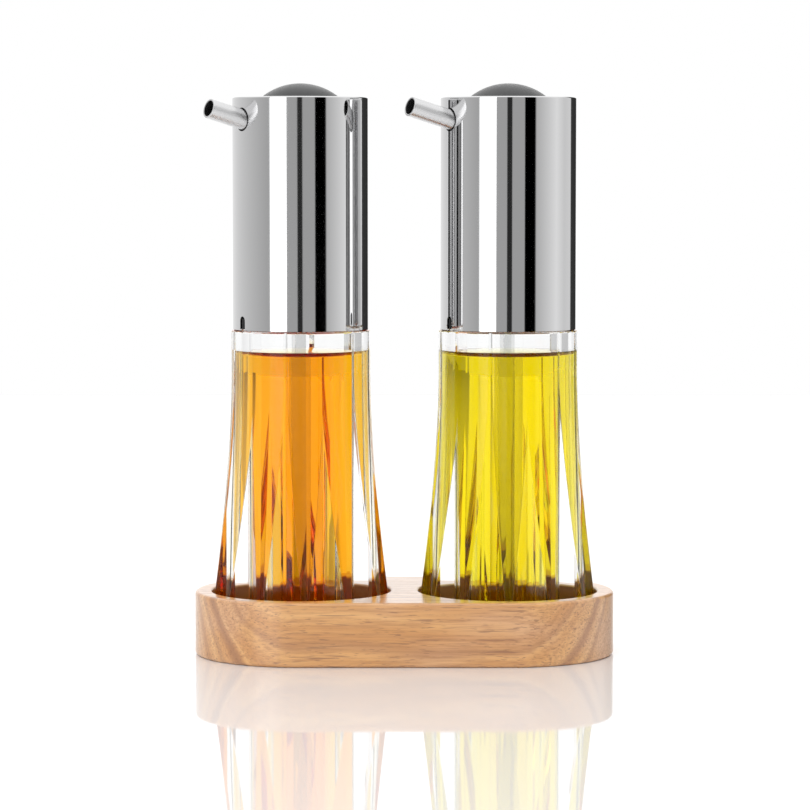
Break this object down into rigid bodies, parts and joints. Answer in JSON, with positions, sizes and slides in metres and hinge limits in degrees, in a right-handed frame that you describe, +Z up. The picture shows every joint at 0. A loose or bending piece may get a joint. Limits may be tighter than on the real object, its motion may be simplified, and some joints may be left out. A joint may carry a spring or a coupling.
{
  "type": "cruet set",
  "caption": "Oil and vinegar set: cut clear bottles under steel pump heads with soft press domes and angled spouts, standing in a rounded wooden tray.",
  "frame": {"origin": "middle of the tray's underside, on the table", "axes": "+Z up, +X along the tray from the vinegar to the oil, the front faces -Y"},
  "size_m": [0.1354, 0.0686, 0.1837],
  "materials": {
    "tray_wood": "oiled, fine grain",
    "clear_acrylic": "clear, polished",
    "polished_steel": "polished stainless",
    "black_plastic": "fine satin",
    "grey_silicone": "soft matt",
    "clear_silicone": "milky, soft",
    "clear_plastic": "clear tube"
  },
  "bodies": {
    "tray": {"tray": "tray_wood"},
    "vinegar_bottle": {"vinegar_bottle": "clear_acrylic"},
    "vinegar_seal": {"vinegar_neck_seal": "clear_silicone"},
    "vinegar_head": {"vinegar_pump_chassis": "black_plastic", "vinegar_vent_flap": "clear_silicone", "vinegar_pump_chamber": "black_plastic", "vinegar_dip_tube": "clear_plastic", "vinegar_valve_cage": "black_plastic", "vinegar_outlet_valve": "clear_silicone", "vinegar_spout": "polished_steel", "vinegar_dome_ring": "black_plastic", "vinegar_sleeve": "polished_steel"},
    "vinegar_button": {"vinegar_press_disc": "black_plastic", "vinegar_dome": "grey_silicone"},
    "vinegar_ball": {"vinegar_inlet_ball": "polished_steel"},
    "oil_bottle": {"oil_bottle": "clear_acrylic"},
    "oil_seal": {"oil_neck_seal": "clear_silicone"},
    "oil_head": {"oil_pump_chassis": "black_plastic", "oil_vent_flap": "clear_silicone", "oil_pump_chamber": "black_plastic", "oil_dip_tube": "clear_plastic", "oil_valve_cage": "black_plastic", "oil_outlet_valve": "clear_silicone", "oil_spout": "polished_steel", "oil_dome_ring": "black_plastic", "oil_sleeve": "polished_steel"},
    "oil_button": {"oil_press_disc": "black_plastic", "oil_dome": "grey_silicone"},
    "oil_ball": {"oil_inlet_ball": "polished_steel"}
  },
  "joints": [
    {"name": "vinegar_lift", "type": "slide", "parent": "tray", "child": "vinegar_bottle", "axis": [0, 0, 1], "range_m": [0, 0.06]},
    {"name": "vinegar_pull_off", "type": "slide", "parent": "vinegar_bottle", "child": "vinegar_seal", "axis": [0, 0, 1], "range_m": [0, 0.11]},
    {"name": "vinegar_swivel", "type": "hinge", "parent": "vinegar_seal", "child": "vinegar_head", "pos_m": [-0.03335, 0, 0.1047], "axis": [0, 0, 1], "continuous": true},
    {"name": "vinegar_press", "type": "slide", "parent": "vinegar_head", "child": "vinegar_button", "axis": [0, 0, -1], "range_m": [0, 0.0045], "stiffness_N_per_m": 1500, "deforming": ["vinegar_dome"]},
    {"name": "vinegar_ball_rise", "type": "slide", "parent": "vinegar_head", "child": "vinegar_ball", "axis": [0, 0, 1], "range_m": [0, 0.0011]},
    {"name": "oil_lift", "type": "slide", "parent": "tray", "child": "oil_bottle", "axis": [0, 0, 1], "range_m": [0, 0.06]},
    {"name": "oil_pull_off", "type": "slide", "parent": "oil_bottle", "child": "oil_seal", "axis": [0, 0, 1], "range_m": [0, 0.11]},
    {"name": "oil_swivel", "type": "hinge", "parent": "oil_seal", "child": "oil_head", "pos_m": [0.03335, 0, 0.1047], "axis": [0, 0, 1], "continuous": true},
    {"name": "oil_press", "type": "slide", "parent": "oil_head", "child": "oil_button", "axis": [0, 0, -1], "range_m": [0, 0.0045], "stiffness_N_per_m": 1500, "deforming": ["oil_dome"]},
    {"name": "oil_ball_rise", "type": "slide", "parent": "oil_head", "child": "oil_ball", "axis": [0, 0, 1], "range_m": [0, 0.0011]}
  ]
}
